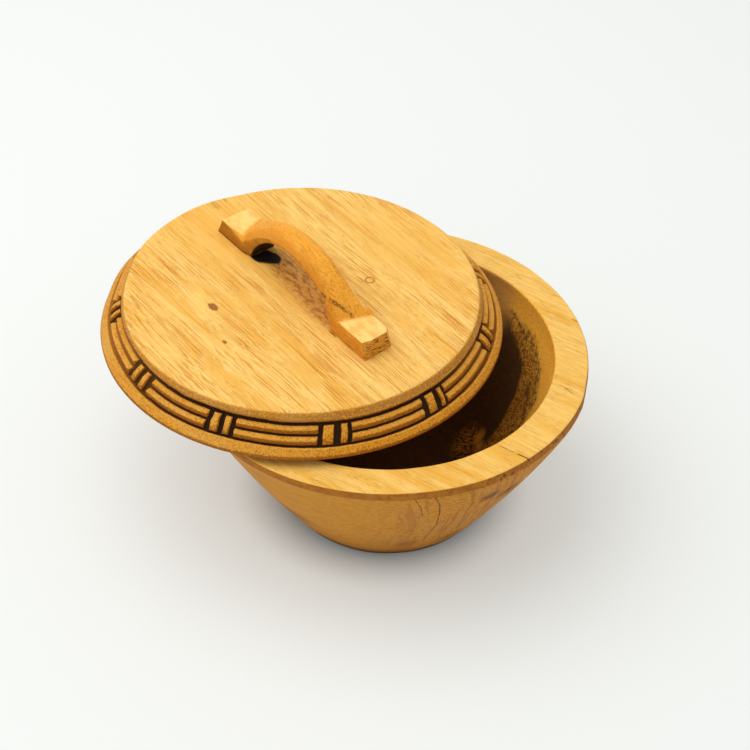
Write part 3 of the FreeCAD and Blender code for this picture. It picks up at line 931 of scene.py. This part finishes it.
def makeLid():
    radius, step = lid["radius"], lid["stepHeight"]
    edgeTop = step + lid["edgeHeight"]
    top = step + lid["thickness"]
    bevelFoot = (lid["topRadius"] + lid["bevelRun"], top - lid["bevelDrop"])
    slope = math.hypot(radius - bevelFoot[0], bevelFoot[1] - edgeTop)
    points, marks = drawProfile([
        ((0, 0), 0, 3, {}, 0),
        ((lid["stepRadius"], 0), 0, 2, {}, 0),
        ((lid["stepRadius"], step), 0, 4, {}, 0),
        ((radius - 2, step), 0, 3, {"band": 1}, 0),
        ((radius, step), 0, 3, {"band": 1}, 0.9),
        ((radius, edgeTop), 0, 44, {"band": 1}, 1.0),
        (bevelFoot, 0, 7, {"band": 0.8}, 0),
        ((lid["topRadius"], top), 0, 3, {}, 1.0),
        ((lid["topRadius"] - 3, top), 0, 7, {}, 0),
        ((0, top),),
    ])
    along = [0.0]
    for before, after in zip(points, points[1:]):
        along.append(along[-1] + (after - before).length)
    resting = 3 + 2 + 4  # the points of the step, which lies in or on the bowl
    edge = resting + 3 + 3
    for index in range(len(points)):
        away = along[index] - along[edge]
        marks[index] = dict(marks[index], up_slope=min(max(away, -5.0), slope + 5))
    profile = profileMesh("lid_profile", points, marks, ["band", "up_slope"])
    turning = Turning("lid carving", {
        "Columns": lid["columns"], "Ties": len(lid["tieShift"]), "Groove depth": lid["grooveDepth"],
        "Rail sides": lid["railSides"], "Unevenness": lid["unevenness"], "Bulge": lid["bulge"],
        "Shift X": lid["centre"][0], "Shift Y": lid["centre"][1], "Shift Z": lid["seat"], "Seed": 11.0,
        "Wood": makeLidWood(),
    })
    bench, size = turning.bench, turning.size
    ties = size("Ties")
    sector = bench.maths("FLOOR", turning.share * ties + 1e-6)
    across = (turning.share * ties - sector) * 2.0 - 1.0  # -1 to 1 within one tie's stretch
    spread = across * (0.60 + 0.40 * across * across)  # more points near the tie's middle
    half = 180.0 / ties  # half of that stretch, in degrees
    local = spread * half
    degrees = sector * half * 2.0 + local + lid["turn"]
    angle = degrees * (math.pi / 180)
    around = turning.around(angle)
    sway = bench.noise(around, 60.0, 3.0) - 0.5
    jitter = bench.noise(around, 260.0, 2.0) - 0.5
    upSlope = turning.mark("up_slope")
    drift = bench.readCurve((degrees - lid["turn"] + half) / 360.0, lid["drift"])
    place = upSlope - drift + sway * 0.8 + jitter * 0.45
    ink = bench.readCurve(bench.wrapped(degrees), lid["ink"])

    def perTie(name):
        return bench.readCurve(sector, list(enumerate(lid[name])))

    def cut(groove):
        # a groove round the lid: 1 along its middle, 0 at its sides
        middle, width = lid[groove]
        return bench.clamped((1.0 - abs(place - middle) / (width * 0.66)) * 1.35)

    def crown(low, high, sides, crest):
        # a rail's round top between two heights on the slope: its depth grows to the sides
        off = (place - (low + high) / 2) / ((high - low) / 2)
        return crest + (sides - crest) * bench.clamped(off * off)

    def inside(off):
        # 1 where a distance in degrees is below 0, with soft sides
        return bench.eased(off, lid["tieEdge"], -lid["tieEdge"])

    lowest, middle, highest = lid["lowGroove"][0], lid["midGroove"][0], lid["highGroove"][0]
    deep = size("Groove depth") * (0.62 + 0.38 * ink)
    outer = bench.greatest(cut("lowGroove"), cut("highGroove"))
    inBand = bench.maths("GREATER_THAN", place, lowest) * bench.maths("LESS_THAN", place, highest)
    lowRail = crown(lowest + 0.6, middle - 0.6, size("Rail sides"), lid["railCrest"])
    highRail = crown(middle + 0.6, highest - 0.8, size("Rail sides"), lid["railCrest"])
    rings = bench.greatest(inBand * bench.maths("MINIMUM", lowRail, highRail), cut("midGroove") * deep)
    names = ("tieShift", "tieLean", "leftBar", "rightBar", "middleGap", "leftGap", "rightGap")
    shift, slant, left, right, gap, leftGap, rightGap = (perTie(name) for name in names)
    wobble = (bench.noise(around, 190.0, 2.0) - 0.5) * 0.9
    turned = local + wobble - shift - slant * ((place - middle) / lid["tieLength"])
    pocketLeft = gap * 0.5 + left + leftGap
    pocketRight = gap * 0.5 + right + rightGap
    pocketOff = abs(turned - (pocketRight - pocketLeft) * 0.5) - (pocketRight + pocketLeft) * 0.5
    pocket = inside(pocketOff) * inBand
    leftBar = abs(turned + (gap + left) * 0.5) - left * 0.5
    rightBar = abs(turned - (gap + right) * 0.5) - right * 0.5
    bars = bench.greatest(inside(leftBar), inside(rightBar))
    barTop = crown(lowest, highest, 1.0, lid["railCrest"])
    sunk = bench.blended(bars, size("Groove depth"), barTop)
    onBand = bench.maths("GREATER_THAN", upSlope, 0.01) * bench.maths("LESS_THAN", upSlope, slope + 2.2)
    carvedDepth = bench.greatest(bench.blended(pocket, rings, sunk), outer * deep) * onBand
    shade = bench.blended(pocket, cut("midGroove"), 1.0 - bars)
    shade = bench.greatest(shade, outer) * onBand
    waves = bench.noise(around, 30.0, 2.0) * size("Unevenness")
    clear = bench.maths("GREATER_THAN", turning.row, resting - 0.5)
    depth = (carvedDepth + waves * clear) * mm
    bulge = bench.bump(angle, lid["bulgeAt"], 30) * bench.eased(turning.radius / mm, 82.0, 95.0) * clear
    turning.place(angle, depth, {
        "carved": shade,
        "band": turning.mark("band"),
        "inked": bench.greatest(ink, pocket * 0.85),
    }, bulge * size("Bulge") * mm, 0.0)
    return turning.make("lid_disc", profile)


handle = {
    "centre": (-44.4, 21.4), "seat": 123.5, "turn": -52.2,
    "length": 137.0, "strapHalf": 46.5, "height": 33.0, "blockHeight": 11.0,
    "gripHalf": 38.5, "gripHeight": 25.5,
    # along the handle, right end positive: how wide and how low its two long edges are
    "nearWidth": [(-45, 9.4), (-38, 8.0), (31, 8.0), (36, 9.4)],
    "farWidth": [(-50, 9.3), (-44, 7.6), (44, 7.6), (50, 9.3)],
    "nearDrop": [(-62, 0.4), (-55, 0.9), (-49, 2.7), (-44.4, 3.4), (-38, 6.0), (38, 6.0), (46, 1.0)],
    "farDrop": [(-48, 1.0), (-38, 5.0), (36, 5.0), (42, 5.6), (47, 1.4)],
    "roundness": [(-48, 10.0), (-38, 2.3), (38, 2.3), (47, 10.0)],
    "fullGrip": [(16, 0.0), (26, 1.5), (30, 1.8), (36, 0.4), (38, 0.0)],  # the gap is rounder at the right
    "obliqueness": 0.35,
    "cuts": [  # where a knife took wood off: the way that each cut faces, and how far out it is
        ((1.0, 0.09, 0.055), 67.45), ((-1.0, 0.0, 0.48), 68.5),
        ((0.902, -0.372, 0.218), 64.98), ((0.597, 0.771, 0.222), 46.5),
    ],
    "sections": 240, "topPoints": 35, "wallSteps": 6, "floorSteps": 8,
    "softEdge": 0.7, "unevenness": 0.22, "sharpFrom": 38,
}


def readLine(points, value):
    # the size at this value on a line of (place, size) points, level beyond its ends
    if value <= points[0][0]:
        return points[0][1]
    for (low, first), (high, last) in zip(points, points[1:]):
        if value <= high:
            share = (value - low) / (high - low)
            return first + (last - first) * share * share * (3 - 2 * share)
    return points[-1][1]


def arcHeight(x, half, rise):
    # the height at x of an arc that spans from -half to half and rises by rise
    if abs(x) >= half:
        return 0.0
    radius = (half ** 2 + rise ** 2) / (2 * rise)
    return math.sqrt(radius ** 2 - x ** 2) - (radius - rise)


def handleTop(s, y):
    # the height of the handle's upper side: a strap with a round back that runs into two flat feet
    width = readLine(handle["farWidth" if y > 0 else "nearWidth"], s)
    drop = readLine(handle["farDrop" if y > 0 else "nearDrop"], s)
    skew = handle["obliqueness"] * (y + 2) * (s / handle["strapHalf"]) ** 2
    block = handle["blockHeight"]
    crown = block + arcHeight(abs(s) - skew, handle["strapHalf"], handle["height"] - block)
    return crown - drop * min(abs(y) / width, 1) ** readLine(handle["roundness"], s)


def handleSection(s):
    # the outline at s along the handle: across below, up the far side, over the top, down the near side
    near, far = readLine(handle["nearWidth"], s), readLine(handle["farWidth"], s)
    under = arcHeight(s, handle["gripHalf"], handle["gripHeight"])
    under = under + readLine(handle["fullGrip"], s) if under > 0 else -0.4
    last = handle["topPoints"] - 1
    over = [math.cos(math.pi * step / last) for step in range(last + 1)]
    over = [far * c if c > 0 else near * c for c in over]
    outline = [(y, max(handleTop(s, y), under + 1.0)) for y in over]
    soft, steps = handle["softEdge"], handle["wallSteps"]
    low = under + soft
    for side, width in ((-1, near), (1, far)):
        edge = outline[-1][1] if side < 0 else outline[0][1]
        heights = [low + (edge - under - soft) * (1 - step / steps) for step in range(1, steps + 1)]
        wall = [(side * width, height) for height in heights]
        turned = [(side * (width - soft * (1 - math.cos(a))), low - soft * math.sin(a))
                  for a in (math.pi / 6, math.pi / 3, math.pi / 2)]
        if side < 0:
            outline = outline + wall + turned
        else:
            outline = (wall + turned)[::-1] + outline
    first, last, steps = outline[-1], outline[0], handle["floorSteps"]
    floor = [(first[0] + (last[0] - first[0]) * step / steps, under) for step in range(1, steps)]
    return outline + floor


def cutHandle(sheet):
    # takes off what lies outside each knife cut, and closes the cut with one flat face
    for facing, away in handle["cuts"]:
        facing = Vector(facing)
        everything = sheet.verts[:] + sheet.edges[:] + sheet.faces[:]
        onCut = facing * away / facing.length_squared
        done = bmesh.ops.bisect_plane(sheet, geom=everything, dist=1e-5, plane_co=onCut,
                                      plane_no=facing.normalized(), clear_outer=True)
        rim = [part for part in done["geom_cut"] if isinstance(part, bmesh.types.BMEdge)]
        bmesh.ops.contextual_create(sheet, geom=rim)


def markHandle(mesh):
    # where the wood is worn pale with a painted highlight, where it is darker low down and on the near side
    # as painted shade, and where it is black as a painted shadow
    worn, low, sooty = (mesh.attributes.new(name, "FLOAT", "POINT") for name in ("worn", "low", "sooty"))
    for index, vertex in enumerate(mesh.vertices):
        s, y, z = vertex.co
        up = mesh.vertex_normals[index].vector.z
        share = y / readLine(handle["farWidth" if y > 0 else "nearWidth"], s)
        # the feet's tops are worn pale and carry a painted highlight; the strap's far top edge is a painted
        # highlight
        onFoot = readLine([(46.5, 0.0), (50.0, 1.0)], abs(s) - handle["obliqueness"] * (y + 2))
        onFoot *= readLine([(0.6, 0), (0.9, 1)], up)
        backEdge = readLine([(0.66, 0), (0.80, 1), (0.90, 1), (0.98, 0)], share)
        backEdge *= readLine([(44, 1), (49, 0)], abs(s)) * 0.8
        worn.data[index].value = max(onFoot, backEdge)
        # painted shade: darker where faces look down, at the near foot's end and along the strap's near
        # side
        below = readLine([(-0.3, 1), (0.2, 0)], up)
        nearFoot = readLine([(-0.98, 1), (-0.9, 0)], share) * readLine([(-42, 1), (-38, 0)], s)
        nearFoot *= readLine([(4.5, 1), (6.0, 0)], z)
        nearSide = readLine([(-0.95, 0.55), (-0.45, 0)], share) * readLine([(40, 1), (46, 0)], abs(s))
        low.data[index].value = max(below, nearFoot, nearSide)
        # painted shadow: the underside of the strap's left leg is near-black
        sooty.data[index].value = below * readLine([(-22, 1), (-12, 0)], s) if z > 0.3 else 0.0


def makeHandle():
    half = handle["length"] / 2 + 1.0
    count = handle["sections"]
    sheet = bmesh.new()
    rings = []
    for index in range(count + 1):
        s = -half + 2 * half * index / count
        rings.append([sheet.verts.new((s, y, z)) for y, z in handleSection(s)])
    for before, after in zip(rings, rings[1:]):
        for corner in range(len(before)):
            beyond = (corner + 1) % len(before)
            sheet.faces.new((before[corner], before[beyond], after[beyond], after[corner]))
    sheet.faces.new(rings[0])
    sheet.faces.new(rings[-1])
    sheet.normal_update()
    for vertex in sheet.verts:
        if vertex.co.z > 0.4:
            vertex.co += vertex.normal * handle["unevenness"] * noise.noise(vertex.co * 0.16)
    cutHandle(sheet)
    bmesh.ops.recalc_face_normals(sheet, faces=sheet.faces[:])
    mesh = bpy.data.meshes.new("handle_bridge")
    sheet.to_mesh(mesh)
    sheet.free()
    markHandle(mesh)
    place = Matrix.Translation([c * mm for c in (*handle["centre"], handle["seat"])])
    turn = Matrix.Rotation(math.radians(handle["turn"]), 4, "Z")
    mesh.transform(place @ turn @ Matrix.Scale(mm, 4))
    mesh.polygons.foreach_set("use_smooth", [True] * len(mesh.polygons))
    mesh.set_sharp_from_angle(angle=math.radians(handle["sharpFrom"]))
    mesh.materials.append(makeHandleWood())
    bridge = put("handle_bridge", mesh)
    print("handle_bridge made:", len(mesh.polygons), "faces")
    return bridge


setCamera()
setStudio()
layTable()
print("camera, light and table set")

bowlBody = makeBowl()
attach(bowlBody, "bowl")
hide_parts("bowl")

lidDisc = makeLid()
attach(lidDisc, "lid")
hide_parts("lid")

handleBridge = makeHandle()
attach(handleBridge, "lid")
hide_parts("handle")
